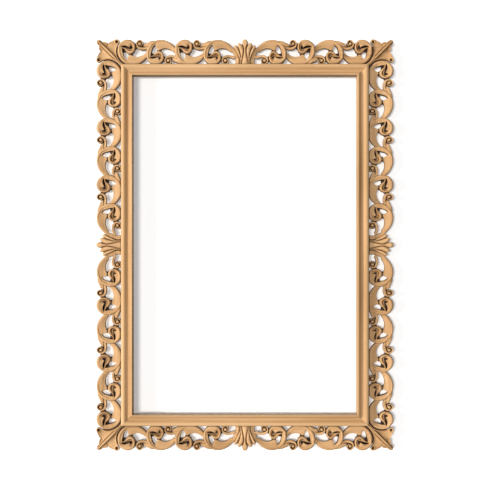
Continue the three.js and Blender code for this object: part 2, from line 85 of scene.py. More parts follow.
camera = bpy.data.objects.new("camera", bpy.data.cameras.new("camera"))
bpy.context.scene.collection.objects.link(camera)
camera.data.sensor_width = SENSOR
camera.data.lens = SENSOR * VIEW_DISTANCE / VIEW_WIDTH
camera.location = (0, FRONT - VIEW_DISTANCE, 0)
camera.rotation_euler = (np.pi / 2, 0, 0)
bpy.context.scene.camera = camera
bpy.context.scene.view_settings.view_transform = "Standard"

# Matt paint gives an even white with no gloss. A faint glow stands for the room's light on it.
white_paint, tree = blank_material("matt_white_wall_paint")
paint = put(tree, "BsdfDiffuse", {"Color": linear("#e6e6e6")})
glow = put(tree, "Emission", {"Color": linear("#f8fbff"), "Strength": WALL_GLOW})
lit_side = put(tree, "AddShader", {0: paint.outputs[0], 1: glow.outputs[0]})
unseen = put(tree, "BsdfTransparent")
behind = put(tree, "NewGeometry").outputs["Backfacing"]
shown = put(tree, "MixShader", {0: behind, 1: lit_side.outputs[0], 2: unseen.outputs[0]})
put(tree, "OutputMaterial", {"Surface": shown.outputs[0]})


def stage_plane(name, corners):
    """A flat four-cornered backdrop that isn't part of the frame."""
    mesh = bpy.data.meshes.new(name)
    mesh.from_pydata(corners, [], [(0, 1, 2, 3)])
    plane = bpy.data.objects.new(name, mesh)
    bpy.context.scene.collection.objects.link(plane)
    mesh.materials.append(white_paint)
    plane.visible_shadow = False
    plane.visible_diffuse = False


stage_plane("wall", [
    (side * STAGE_HALF, WALL_BEHIND, level)
    for side, level in ((-1, FLOOR_LEVEL), (1, FLOOR_LEVEL), (1, STAGE_HALF), (-1, STAGE_HALF))
])
stage_plane("floor", [
    (side * STAGE_HALF, -depth, FLOOR_LEVEL)
    for side, depth in ((-1, FLOOR_DEPTH), (1, FLOOR_DEPTH), (1, 0), (-1, 0))
])


def lamp(name, travel, strength, spread, colour):
    """A broad far lamp whose light travels in one direction, its spread in degrees."""
    light = bpy.data.lights.new(name, "SUN")
    light.energy = strength
    light.angle = np.radians(spread)
    light.color = linear(colour)[:3]
    held = bpy.data.objects.new(name, light)
    held.rotation_euler = Vector(travel).to_track_quat("-Z", "Y").to_euler()
    bpy.context.scene.collection.objects.link(held)


for place, sideways in KEY_LAMPS.items():
    lamp(f"{place}_key_lamp", (sideways, 1, 0), KEY_STRENGTH, KEY_SPREAD, "#fffaf4")
lamp("side_lamp", (1.9, 1, -0.1), 3.6, 18, "#fff4e6")
lamp("front_lamp", (0, 1, 0), 0.4, 50, "#fafcff")
lamp("back_lamp", (0, -1, -0.15), 1.8, 30, "#ffffff")
room = bpy.data.worlds.new("white_room")
bpy.context.scene.world = room
room.use_nodes = True
room_light = room.node_tree.nodes["Background"]
room_light.inputs["Color"].default_value = linear("#f9fbff")
room_light.inputs["Strength"].default_value = ROOM_LIGHT

# Rails and stiles. Four lengths of one planed beech moulding, with a lip round the opening, a
# hollow and a round bead, a rebate behind for the pane, mitred at the corners and glued.
SIGHT = np.array([594.0, 898.0])
MOULDING_WIDTH = 33.0
BEAD_TOP = 32.8
LIP_TOP = 36.0
REBATE_WIDTH = 10.0
REBATE_DEPTH = 12.0
EDGE_BREAK = 0.4
BACK_GAP = 6.0
MITRE_GAP = 0.3
SIDES = {"top": 0, "right": 3, "bottom": 2, "left": 1}
SAME_POINT = 1e-7
# Where in the board's grain the frame was cut, in sizes of a mark.
BOARD_START = 0.81
# Marks in the wood: length along the grain and width across it in millimetres, detail, roughness.
# Beech's own flecks are about half that size. They are drawn coarser so that they can be seen.
BEECH_MARKS = {"streak": (260, 7, 3, 0.55), "cloud": (420, 60, 1, 0.5), "fleck": (7, 0.9, 1, 0.5)}


def stand(points):
    """Drawn millimetres (x right, y up, z forward from the back of the wood) as metres in the
    frame's own place: forward becomes -Y, off the wall by the felt's thickness."""
    x, y, z = np.moveaxis(np.asarray(points, float), -1, 0)
    return np.stack([x, -z - BACK_GAP, y], -1) / 1000


def turned(points, quarters):
    """Points of the top side carried round the frame by quarter turns about its middle."""
    x, y, z = np.moveaxis(np.asarray(points, float), -1, 0)
    for _ in range(quarters):
        x, y = -y, x
    return np.stack([x, y, z], -1)


def solid(name, shells, material, body, nodes, crease=35):
    """One object from closed shells. A shell is a grid of points, rings by points round a ring,
    with each point's painted light and wear: 1 is the darkest painted shade, in a corner or crease,
    and below 0 an edge is paler, partly wear and partly painted highlight. Quads join each ring to
    the next, and flat caps close the ends unless the rings run round to meet."""
    points, painted_light_and_wear, faces, start = [], [], [], 0
    for rings, depth, closed in shells:
        count, around = rings.shape[:2]
        index = np.arange(count * around).reshape(count, around) + start
        ahead = np.roll(index, -1, 0) if closed else index[1:]
        here = index if closed else index[:-1]
        quads = np.stack([here, np.roll(here, -1, 1), np.roll(ahead, -1, 1), ahead], -1)
        faces += quads.reshape(-1, 4).tolist()
        if not closed:
            faces += [index[0, ::-1].tolist(), index[-1].tolist()]
        points.append(rings.reshape(-1, 3))
        # The depth here is each point's painted light and wear: painted shade above 0, paler below 0.
        painted_light_and_wear.append(np.broadcast_to(depth, rings.shape[:2]).ravel())
        start += count * around
    mesh = bpy.data.meshes.new(name)
    mesh.from_pydata(stand(np.concatenate(points)).tolist(), [], faces)
    kept = mesh.attributes.new("painted_light_and_wear", "FLOAT", "POINT")
    kept.data.foreach_set("value", np.concatenate(painted_light_and_wear))
    shape = bmesh.new()
    shape.from_mesh(mesh)
    bmesh.ops.remove_doubles(shape, verts=shape.verts, dist=SAME_POINT)
    bmesh.ops.recalc_face_normals(shape, faces=shape.faces)
    shape.to_mesh(mesh)
    shape.free()
    mesh.shade_smooth()
    mesh.set_sharp_from_angle(angle=np.radians(crease))
    mesh.materials.append(material)
    piece = bpy.data.objects.new(name, mesh)
    bpy.context.scene.collection.objects.link(piece)
    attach(piece, body)
    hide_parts(*nodes)


def flowing(stops, at):
    """A smooth line through stops (place, values): cubic pieces whose slope at each stop is the
    weighted mean of the slopes on either side."""
    table = np.array(stops, float)
    at = np.clip(at, table[0, 0], table[-1, 0])
    place, value = table[:, 0], table[:, 1:]
    slope = np.gradient(value, place, axis=0)
    left = np.clip(np.searchsorted(place, at, side="right") - 1, 0, len(place) - 2)
    step = (place[left + 1] - place[left])[:, None]
    t = (at - place[left])[:, None] / step
    rise, bow = 3 * t**2 - 2 * t**3, t * (1 - t)
    line = value[left] * (1 - rise) + value[left + 1] * rise
    line = line + step * bow * ((1 - t) * slope[left] - t * slope[left + 1])
    return line[:, 0] if line.shape[1] == 1 else line


def oiled_beech(name, along):
    """Oiled beech with its grain along X (0) or Z (2). Planed and carved beech shows the eye a warm
    tan with long soft streaks, short dark flecks and a satin face. Painted shade darkens its recesses
    and walls, and its edges are paler, partly wear and partly painted highlight. Each mark is a noise
    drawn out along the grain."""
    material, tree = blank_material(name)
    place = put(tree, "TexCoord").outputs["Object"]
    marks = {}
    for mark, (length, width, detail, roughness) in BEECH_MARKS.items():
        scale = [1000 / width] * 3
        scale[along] = 1000 / length
        drawn = put(tree, "Mapping", {"Vector": place, "Scale": scale, "Location": [BOARD_START] * 3})
        marks[mark] = put(tree, "TexNoise", {
            "Vector": drawn.outputs[0], "Scale": 1.0, "Detail": detail, "Roughness": roughness,
        }).outputs["Fac"]
    streaks = put(tree, "Math", {0: marks["streak"], 1: 0.7, 2: -0.35}, operation="MULTIPLY_ADD")
    tone = put(tree, "Math", {0: marks["cloud"], 1: 0.8, 2: streaks.outputs[0]}, operation="MULTIPLY_ADD")
    ramp = put(tree, "ValToRGB", {"Fac": tone.outputs[0]})
    ramp.color_ramp.elements[0].position = 0.18
    ramp.color_ramp.elements[0].color = linear("#a78157")
    ramp.color_ramp.elements[1].position = 0.72
    ramp.color_ramp.elements[1].color = linear("#cda980")
    ramp.color_ramp.elements.new(0.44).color = linear("#be986c")
    dots = put(tree, "MapRange", {"Value": marks["fleck"], 1: 0.62, 2: 0.78, 3: 0.0, 4: 0.45}).outputs[0]
    flecked = put(tree, "Mix", {0: dots, 6: ramp.outputs["Color"], 7: linear("#976c40")}, data_type="RGBA")
    # Painted light and wear: above 0 it mixes in painted shade, a near-black brown, with held as its share,
    # and below 0 a pale cream that is partly wear and partly painted highlight.
    painted_light_and_wear = put(tree, "Attribute", attribute_name="painted_light_and_wear").outputs["Fac"]
    held = put(tree, "MapRange", {"Value": painted_light_and_wear, 1: 0.0, 2: 1.0, 3: 0.0, 4: 0.94}).outputs[0]
    highlight_and_wear = put(tree, "MapRange", {"Value": painted_light_and_wear, 1: 0.0, 2: -1.0, 3: 0.0, 4: 0.6}).outputs[0]
    dark = put(tree, "Mix", {0: held, 6: flecked.outputs[2], 7: linear("#241005")}, data_type="RGBA")
    colour = put(tree, "Mix", {0: highlight_and_wear, 6: dark.outputs[2], 7: linear("#e6c598")}, data_type="RGBA")
    sheen = put(tree, "MapRange", {"Value": marks["streak"], 1: 0.2, 2: 0.8, 3: 0.58, 4: 0.72}).outputs[0]
    bump = put(tree, "Bump", {"Height": marks["fleck"], "Strength": 0.2, "Distance": 0.0002})
    wood = put(tree, "BsdfPrincipled", {
        "Base Color": colour.outputs[2], "Roughness": sheen, "Normal": bump.outputs[0], "IOR": 1.5,
        "Specular IOR Level": 0.3,
    })
    put(tree, "OutputMaterial", {"Surface": wood.outputs[0]})
    return material


rail_beech = oiled_beech("oiled_beech_along_rails", 0)
stile_beech = oiled_beech("oiled_beech_along_stiles", 2)


def side_facts(quarters):
    """A side's kind, its sight length, the opening's size across it, and its wood. The stiles are
    the odd quarter turns, and the grain runs along each side."""
    if quarters % 2:
        return "stile", SIGHT[1], SIGHT[0], stile_beech
    return "rail", SIGHT[0], SIGHT[1], rail_beech


def bowed(start, corner, end):
    """Twelve points on a rounded corner: a quadratic curve from start to end, pulled to the corner."""
    t = np.linspace(0, 1, 12)[:, None]
    return (1 - t) ** 2 * np.array(start) + 2 * t * (1 - t) * np.array(corner) + t**2 * np.array(end)


def moulding_section():
    """The section's outline, x outward from the sight edge and y forward, with each point's painted
    light and wear: rounded corners on the bead and the lip, a smooth hollow between them and the
    rebate behind. Bead and lip are paler, partly wear and partly painted highlight. Painted shade
    darkens the bead's foot where the border meets it, the middle of the hollow a little, and the
    sight wall."""
    outer_edge = [(MOULDING_WIDTH - EDGE_BREAK, 0), (MOULDING_WIDTH, EDGE_BREAK)]
    bead = bowed((MOULDING_WIDTH, 24), (32, 32.6), (24.5, BEAD_TOP))
    hollow = flowing([
        (0, 24.5, BEAD_TOP), (1, 20.8, 31.4), (2, 17, 28.5), (3, 13.2, 27.6), (4, 9.6, 30), (5, 6.6, 34),
        (6, 3.6, LIP_TOP),
    ], np.linspace(0, 6, 40)[1:-1])
    lip = bowed((3.6, LIP_TOP), (2.0, LIP_TOP), (1.8, 34.8))
    sight_wall = [(1.6, 23.2), (0.3, 14.1), (0.25, 12.6)]
    rebate = [(0.7, REBATE_DEPTH), (REBATE_WIDTH, REBATE_DEPTH), (REBATE_WIDTH, EDGE_BREAK),
              (REBATE_WIDTH + EDGE_BREAK, 0)]
    section = np.concatenate([outer_edge, bead, hollow, lip, sight_wall, rebate])
    painted_light_and_wear = flowing([
        (0, 0.1), (2, 0.9), (3, 0.5), (6, -0.5), (9, -0.5), (14, -0.1), (24, 0.1), (34, 0.1), (44, 0.0),
        (52, -0.2), (60, -0.2), (64, 0.1), (66, 0.3), (70, 0.1),
    ], np.arange(float(len(section))))
    return section, painted_light_and_wear


section, section_painted_light_and_wear = moulding_section()
outward, forward = section.T
for side, quarters in SIDES.items():
    kind, length, across, beech = side_facts(quarters)
    reach = length / 2 + outward - MITRE_GAP * np.sqrt(0.5)
    rings = np.stack([
        np.stack([end * reach, across / 2 + outward, forward], -1) for end in np.linspace(-1, 1, 9)
    ])
    solid(f"planed_{side}_{kind}", [(turned(rings, quarters), section_painted_light_and_wear, False)], beech, "frame",
          [f"{side}_{kind}"])

# Mitre splines. A loose beech tongue glued into a slot across each mitre, inside the wood, where
# it isn't seen: the plain solids are right, and only take the wood's finish.
for name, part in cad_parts.items():
    if name.endswith("mitre_spline"):
        part.data.materials.clear()
        part.data.materials.append(rail_beech)

# Scroll runs. Eight pierced strips of C-scrolls, carved in beech and glued along the moulding. In
# each cell a ribbon sweeps from its tail, round a hollow back, into a bowl whose rim runs back to
# the body as a tongue, with a small curl that springs from the next scroll.
BORDER_WIDTH = 67.0
BORDER_SET = 4.0
RELIEF = 18.0
SEAT_BITE = 2.0
GLUE_GAP = 0.3
PALMETTE_HALF = 36.0
CORNER_LENGTH = 56.0
SCROLL_PITCH = 76.0
FOOT_RADIUS = 43.43
FOOT_ANGLE = 270
SCROLL_SHRINK = 0.75
SCROLL_EYE = np.array([33.12, 42.16])
CELL_LENGTH = 1.8 * FOOT_RADIUS
CURL_EYE = np.array([62.4, 54.2])
# Places along a scroll, in degrees of its spiral.
TAIL = 345
LAST_TAIL = 385
BOWL_START = -180
RIM_LEAVES_SPIRAL = 70
BOWL_FOOT = 88
TONGUE_ROOT = 190
# The backs are bare wood up to a low edge, and those of every other cell lie a little further in,
# so that neighbours share no plane. Painted shade darkens the border's wood along its seams on the
# moulding.
BARE = 0.1
BARE_EDGE = 0.8
SEAM_WIDTH = 4.0
SEAM_SHADE = 0.9
BACK_STEP = 0.12
# A band's least width, and how wide its outer and inner edges are worked at most, in shares of it.
NARROWEST = 0.05
WIDEST_ROUND = 0.38
WIDEST_INNER_ROUND = 0.28
ENDS = {
    "top": ("left", "right"), "right": ("upper", "lower"), "bottom": ("right", "left"),
    "left": ("lower", "upper"),
}


def polar(radius, degrees):
    """Points at a radius and an angle about the origin."""
    return np.stack([radius * np.cos(np.radians(degrees)), radius * np.sin(np.radians(degrees))], -1)


def eased(x):
    """A smooth step from 0 to 1: three x squared less two x cubed, held level outside."""
    x = np.clip(x, 0, 1)
    return x * x * (3 - 2 * x)


def bell(distance, reach, power=2):
    """A smooth bump, 1 at no distance, that dies away about its reach, steeper with more power."""
    return np.exp(-((distance / reach) ** power))


def plain_spiral(degrees):
    """A radius that shrinks by one share each quarter turn back from the scroll's foot."""
    return FOOT_RADIUS * SCROLL_SHRINK ** ((FOOT_ANGLE - degrees) / 90)


def scroll_radius(degrees):
    """The scroll's outer edge: the plain spiral, pressed in by a tenth beside the curl."""
    return plain_spiral(degrees) * (1 - 0.1 * bell(degrees - 5, 45))


def whole_turn(count):
    """Even angles round a whole turn, in degrees."""
    return np.linspace(0, 360, count + 1)[:-1]


def oval(centre, half_sizes, count):
    """Points round an oval."""
    return np.array(centre) + polar(1, whole_turn(count)) * np.array(half_sizes)


def carved_band(outer, inner, height, dip=0.0, lip=1.0, back=0.0, rim=3.0, soft=1.8, drop=3.0,
                inner_soft=1.3, inner_drop=2.0, slope=0.3):
    """Rings of a carved band between two edge lines. Walls rise from a flat back, upright at the
    outer edge and leaning in by the slope at the inner one. A quarter of an ellipse, soft wide and
    drop high, rounds each edge. Between them the top sinks from a rim at the outer edge into a
    hollow of the given dip, and ends at a share, lip, of the height. Painted shade darkens the walls,
    and the hollow the more it dips. The top is paler, most at the rim and the outer round, partly
    wear and partly painted highlight."""
    across = inner - outer
    width = np.maximum(np.hypot(*across.T), NARROWEST)[:, None]
    across = across / width
    height, dip, lip, back, soft, drop, inner_soft, inner_drop, slope = (
        np.broadcast_to(value, len(width))[:, None]
        for value in (height, dip, lip, back, soft, drop, inner_soft, inner_drop, slope)
    )
    part = np.linspace(0, 1, 12)
    rim_share = np.clip(rim / width, 0.05, 0.4)
    hollow = eased((part - 0.4 * rim_share) / (1.1 * rim_share))
    hollow = hollow * (1 - 0.55 * eased((part - 0.68) / 0.32))
    top = height * (1 - (1 - lip) * eased(part) - dip * hollow)
    outer_top, inner_top = top[:, :1], top[:, -1:]
    soft = np.minimum(soft, WIDEST_ROUND * width)
    inner_soft, slope = (np.minimum(value, WIDEST_INNER_ROUND * width) for value in (inner_soft, slope))
    drop, inner_drop = np.minimum(drop, 0.5 * outer_top), np.minimum(inner_drop, 0.5 * inner_top)
    bend = np.radians([0, 22, 45, 68])
    crest = width - slope
    place = np.hstack([
        0 * width, 0 * width, 0 * width, soft * (1 - np.cos(bend)),
        soft + part * (crest - soft - inner_soft),
        crest - inner_soft * (1 - np.cos(bend[::-1])), crest + 0.5 * slope, width, width,
    ])
    level = np.hstack([
        back, back + BARE_EDGE, 0.6 * (outer_top - drop), outer_top - drop * (1 - np.sin(bend)),
        top,
        inner_top - inner_drop * (1 - np.sin(bend[::-1])), 0.5 * (inner_top - inner_drop),
        back + BARE_EDGE, back,
    ])
    same = np.ones_like(width)
    # Painted shade on the walls and in the hollow; a paler top and rim, partly wear and partly painted
    # highlight.
    painted_light_and_wear = np.hstack([
        BARE * same, same, same, same * [0.9, 0.6, 0.1, -0.4],
        1.5 * dip * hollow - 0.2 - 0.3 * (1 - eased(part / 0.25)),
        same * [-0.2, 0.0, 0.25, 0.95], same, same, BARE * same,
    ])
    return np.dstack([outer[:, None, :] + across[:, None, :] * place[..., None], level]), painted_light_and_wear


def prism(outline, bottom, top, shoulder, painted_light_and_wear=1.0):
    """A plug of one outline with upright walls and a bare back. Its top draws in to shares of the
    outline as it rises through the shoulder. Above the back it takes the given painted light and
    wear, by default the darkest painted shade."""
    centre = outline.mean(0)
    levels = [
        (bottom, 1), (bottom + BARE_EDGE, 1), (top - shoulder, 1), (top - 0.3 * shoulder, 0.93),
        (top, 0.75), (top + 0.1 * shoulder, 0.3),
    ]
    rings = np.stack([
        np.column_stack([centre + (outline - centre) * share, np.full(len(outline), level)])
        for level, share in levels
    ])
    return rings, np.array([BARE] + [painted_light_and_wear] * (len(levels) - 1))[:, None]


def scroll_edges(tail, place):
    """A scroll's two edge lines. The outer one follows the spiral, and then the rim of the tongue.
    The inner one keeps the body's width, then the bowl's radius, and then the tongue's other side.
    The long tail of a run's last scroll bulges out to lean on the palmette."""
    body_width = flowing([
        (-385, 12.5), (-360, 12.5), (-345, 11.2), (-330, 12.4), (-300, 12.6), (-270, 12.2), (-248, 12.2),
        (-230, 14.6), (-217, 16.2), (-200, 15.6), (-180, 13.9),
    ], place)
    bowl_radius = flowing([
        (-180, 18.7), (-172, 20.6), (-165.5, 22.2), (-158, 19), (-151, 16.2), (-140, 11.6), (-135, 9.4),
        (-119, 5.6), (-92, 3.8), (-77, 3.6), (-73, 5.2), (-69, 9.8), (-65, 10.9), (-55, 10.4), (-40, 9.4),
        (-20, 8.2), (0, 7.0), (20, 6.8),
    ], place)
    bulge = flowing([
        (-385, 9), (-380, 9), (-370, 9.5), (-360, 6.5), (-345, 4.5), (-330, 0.5), (-315, 0),
    ], place)
    radius = scroll_radius(-place) + (bulge if tail > TAIL else 0)
    inner_radius = np.where(place < BOWL_START, radius - body_width, bowl_radius)
    on_spiral = [
        (at, *(SCROLL_EYE + polar(scroll_radius(-at), -at))) for at in (52, RIM_LEAVES_SPIRAL, BOWL_FOOT)
    ]
    tongue_rim = flowing(on_spiral + [
        (108, 27.8, 31.2), (124, 24.6, 34), (138, 22.4, 37.4), (152, 19.8, 40.6), (170, 14.5, 43),
        (190, 7, 44.4),
    ], place)
    tongue_side = flowing([
        (-20, 40.3, 44.8), (0, 40.12, 42.16), (30, 39.2, 42.5), (60, 38.0, 42.7), (88, 36.4, 42.9),
        (102, 34.5, 43.0), (114, 32.4, 43.2), (126, 30, 43.5), (140, 26.2, 44.0), (154, 20.5, 45.2),
        (172, 13.5, 46.8), (190, 8, 47.4),
    ], place)
    along = place[:, None]
    outer = np.where(along > RIM_LEAVES_SPIRAL, tongue_rim, SCROLL_EYE + polar(radius, -place))
    inner = np.where(along > 0, tongue_side, SCROLL_EYE + polar(inner_radius, -place))
    return outer, inner


def scroll_ribbon(tail):
    """The ribbon of one scroll. The place along it counts up from the tail: minus the spiral's
    angle, then past the foot of the bowl the tongue's own line to its root in the body. The inner
    edge is soft on the tail and at the tongue's root, and crisp round the bowl."""
    place = np.concatenate([
        np.linspace(-tail, BOWL_FOOT, 150), np.linspace(BOWL_FOOT, TONGUE_ROOT, 40)[1:],
    ])
    height = flowing([
        (-385, 0.6), (-345, 0.58), (-270, 0.8), (-180, 0.92), (-90, 1), (0, 0.93), (88, 0.84), (128, 0.82),
        (168, 0.86), (190, 0.83),
    ], place)
    dip = flowing([
        (-385, 0.05), (-345, 0.06), (-310, 0.07), (-270, 0.07), (-230, 0.06), (-180, 0.05), (-90, 0.04),
        (-30, 0.2), (30, 0.32), (88, 0.3), (128, 0.16), (168, 0.06), (190, 0.03),
    ], place)
    lip = flowing([
        (-385, 0.92), (-345, 0.92), (-310, 0.86), (-270, 0.84), (-235, 0.9), (-180, 0.92), (-120, 0.92),
        (-60, 0.8), (0, 0.58), (60, 0.46), (88, 0.46), (128, 0.7), (168, 0.95), (190, 1),
    ], place)
    lean = flowing([
        (-385, 0.3), (-262, 0.3), (-250, 0.6), (-235, 1.0), (-200, 1.0), (-180, 0.7), (-165, 0.5),
        (190, 0.5),
    ], place)
    crisp = 0.6 * eased((place + 262) / 15) + 0.4 * eased((place + 172) / 10)
    crisp = crisp * (1 - eased((place - 120) / 40))
    outer, inner = scroll_edges(tail, place)
    return carved_band(
        outer, inner, RELIEF * height, dip, lip, back=0.7 * eased((place - 90) / 50), rim=4.5, soft=5.5,
        drop=9.0, inner_soft=3.2 - 2.0 * crisp, inner_drop=4.5 - 2.5 * crisp, slope=lean,
    )


def foot_leaf():
    """The broad leaf at a scroll's foot: a low band inside the spiral that widens from the tail and
    ends in a rounded point."""
    along = np.linspace(-TAIL, -255, 60)
    radius = scroll_radius(-along)
    width = flowing([
        (-345, 11.8), (-337, 14), (-327, 17.2), (-317, 20.4), (-307, 24), (-294, 28.2), (-284, 29.6),
        (-275, 29.6), (-268, 28), (-263, 25), (-259, 19.5), (-255, 12),
    ], along)
    height = flowing([(-345, 0.5), (-320, 0.62), (-290, 0.7), (-255, 0.72)], along)
    return carved_band(
        SCROLL_EYE + polar(radius - 5, -along), SCROLL_EYE + polar(radius - width, -along),
        RELIEF * height, dip=0.03, lip=0.82, back=0.2, rim=2.0, inner_soft=2.4, inner_drop=3.0,
    )


def scroll_shells(tail):
    """One scroll: its ribbon, the leaf at its foot, the sunk floor of its bowl, and the floor of
    the groove below the bowl. Both floors are darkened to near black with painted shade."""
    bowl_floor = flowing([
        (0, 43, 44), (1, 40, 50), (2, 32, 52.5), (3, 22, 52), (4, 14, 50), (5, 10.5, 46), (6, 12, 38),
        (7, 15, 33.4), (8, 20, 34), (9, 27, 35), (10, 35, 34.5), (11, 41, 37.5), (12, 43, 44),
    ], np.linspace(0, 12, 33)[:-1])
    groove_floor = oval((36.0, 27.4), (7.0, 2.6), 16)
    return [scroll_ribbon(tail), foot_leaf(), prism(bowl_floor, 0.4, 3.0, 0.6),
            prism(groove_floor, 0.3, 5.0, 0.5)]


def curl_shells():
    """One small curl: a ribbon that unwinds from a round bulb to its root on the next scroll, the
    sunk floor between them, and the web that ties it to its own scroll. The bulb is paler, partly
    wear and partly painted highlight, and painted shade darkens the floor and the web."""
    place = np.linspace(-345, 64, 84)
    radius = flowing([
        (-345, 31), (-328, 24), (-300, 17.4), (-270, 14.4), (-225, 12.6), (-180, 11.6), (-135, 11.8),
        (-90, 12.2), (-45, 10.4), (0, 8), (64, 6.4),
    ], place)
    width = flowing([
        (-345, 12.5), (-328, 9.5), (-300, 8.4), (-270, 7.6), (-225, 6.0), (-180, 4.9), (-135, 4.5),
        (-90, 4.4), (-45, 3.8), (0, 3.2), (64, 2.2),
    ], place)
    height = flowing([
        (-345, 0.62), (-328, 0.62), (-270, 0.72), (-180, 0.8), (-90, 0.84), (64, 0.86),
    ], place)
    ribbon = carved_band(
        CURL_EYE + polar(radius, -place), CURL_EYE + polar(radius - width, -place), RELIEF * height,
        lip=0.94, back=0.25, soft=2.2, drop=4.5, inner_soft=1.0, inner_drop=2.0,
    )
    bulb = oval(CURL_EYE + (-0.8, 0.5), (4.0, 4.0), 24)
    floor = oval(CURL_EYE + (0, 0.6), (9.0, 9.0), 24)
    web = oval((50.4, 49.5), (4.0, 8.0), 24)
    return [ribbon, prism(bulb, 0.6, 16.2, 3.6, -0.25), prism(floor, 0.5, 6.0, 0.5),
            prism(web, 0.3, 6.5, 0.5)]


def shoulder_shells():
    """The shoulder that runs from a curl's root up the next scroll's back and dies into its round
    edge, and the sunk floor of the slit below it, darkened with painted shade. The last curl of a
    run has neither."""
    along = np.linspace(0, 1, 40)
    outer = flowing([
        (0, 72, 52.4), (0.15, 74, 55.6), (0.45, 84.3, 60), (0.75, 95, 64.2), (1, 108, 65.2),
    ], along)
    inner = flowing([
        (0, 71, 47.8), (0.15, 76.5, 47.6), (0.45, 88, 49.5), (0.75, 99, 55), (1, 110, 60),
    ], along)
    height = flowing([(0, 0.58), (0.3, 0.7), (0.6, 0.77), (0.8, 0.66), (1, 0.3)], along)
    shoulder = carved_band(
        outer, inner, RELIEF * height, back=0.3, soft=3.4, drop=6.0, inner_soft=0.8, inner_drop=1.5,
    )
    return [shoulder, prism(oval((73.0, 47.4), (8.0, 3.2), 24), 0.35, 5.5, 0.5)]


plain_cell = scroll_shells(TAIL) + curl_shells() + shoulder_shells()
last_cell = scroll_shells(LAST_TAIL) + curl_shells()


def run_shells(run):
    """The cells of one run, x from the corner to the palmette and y outward. Each motif is stretched
    to its cell and turned over in every other one, and is cut flush where it meets the moulding."""
    count = round(run / SCROLL_PITCH)
    pitch = run / count
    shells = []
    for cell in range(count):
        turned_over = cell % 2
        for rings, painted_light_and_wear in last_cell if cell == count - 1 else plain_cell:
            along, out, level = np.moveaxis(rings, -1, 0)
            out = BORDER_WIDTH - SEAT_BITE - out if turned_over else out
            # Painted shade along the seam where the border meets the moulding.
            seam_shade = np.where(level > 1, SEAM_SHADE * np.clip(1 - out / SEAM_WIDTH, 0, 1), 0)
            level = np.where(level < 1, level + BACK_STEP * turned_over, level)
            along = cell * pitch + along * pitch / CELL_LENGTH
            drawn = np.stack([along, np.maximum(out, GLUE_GAP), level], -1)
            shells.append((drawn, np.maximum(painted_light_and_wear, seam_shade)))
    return shells


for side, quarters in SIDES.items():
    _, length, across, beech = side_facts(quarters)
    run = length / 2 + MOULDING_WIDTH + BORDER_WIDTH - CORNER_LENGTH - PALMETTE_HALF
    edge = across / 2 + MOULDING_WIDTH
    for end, direction in zip(ENDS[side], (1, -1)):
        placed = []
        for rings, painted_light_and_wear in run_shells(run):
            drawn = (rings + (-run - PALMETTE_HALF, edge, BORDER_SET)) * (direction, 1, 1)
            placed.append((turned(drawn, quarters), painted_light_and_wear, False))
        solid(f"carved_{side}_scrolls_{end}", placed, beech, "frame", [f"{side}_scrolls_{end}"])

# Corner leaves. An acanthus leaf carved on each corner's diagonal: a double-lined midrib, a hollow
# blade that follows the first scrolls, curled side lobes with a drilled eye, and a bulb at the tip.
CORNERS = {"top_left": (-1, 1), "top_right": (1, 1), "bottom_left": (-1, -1), "bottom_right": (1, -1)}
RUN_START = BORDER_WIDTH - CORNER_LENGTH
LEAF_STRETCH = 0.975
LEAF_GROOVE = 3.2
LEAF_EYE = (12.2, 60.6)
LEAF_NECK = (53.6, 62.4)
LEAF_BULB = (58, 58)
BULB_RADIUS = 9.0
NOTCH_ROW = 0.8
FULL_SPAN = 15
RIB_GROOVE = 4.3
BLADE_START = 5.7
LEAF_TOP = 17.9
FALL_START = 15
FALL = 0.11


def beside_scroll(radius, degrees):
    """Points about the eye of a run's first scroll, as seen from the corner: turned over along the
    run and stretched as its cells are."""
    eye = (RUN_START - LEAF_STRETCH * SCROLL_EYE[0], SCROLL_EYE[1])
    return polar(radius, degrees) * (-LEAF_STRETCH, 1) + eye


def across_rows(start, end, share):
    """Points at shares of the way along each row's straight line from its start to its end."""
    return start[:, None, :] + (end - start)[:, None, :] * share[..., None]


def leaf_lines(row):
    """The midrib on the diagonal and the leaf's edge, at rows from 0 at the moulding's corner to 1
    at the tip. The edge follows the scroll's back, a groove away from it, and then the lobes."""
    back_angle = flowing([(0, 258), (0.5, 150), (1, 60)], row)
    scroll_back = beside_scroll(plain_spiral(back_angle) + LEAF_GROOVE, back_angle)
    lobes = flowing([
        (0.44, 9.2, 53.2), (0.5, 6.2, 58.8), (0.55, 4.7, 63.5), (0.6, 9.5, 66.8), (0.66, 17, 66.2),
        (0.71, 24.5, 63), (0.75, 30.5, 60.4), (0.78, 33.2, 57.6), (0.8, 34.4, 54.6), (0.82, 36.2, 57.4),
        (0.86, 41, 60.2), (0.9, 46.5, 60.4), (0.93, 50.8, 61.4), (0.955, 54, 64.2), (0.975, 58, 66.6),
        (1, 64, 66.6),
    ], row)
    edge = np.where(row[:, None] < 0.5, scroll_back, lobes)
    edge[:, 1] = np.maximum(edge[:, 1], GLUE_GAP)
    rib = flowing([
        (0, 0.6), (0.15, 10), (0.32, 21), (0.5, 33), (0.6, 37.5), (0.71, 41), (0.8, 44.5), (0.86, 48.5),
        (0.93, 55.5), (0.975, 61.5), (1, 64.6),
    ], row)
    return np.stack([rib, rib], -1), edge


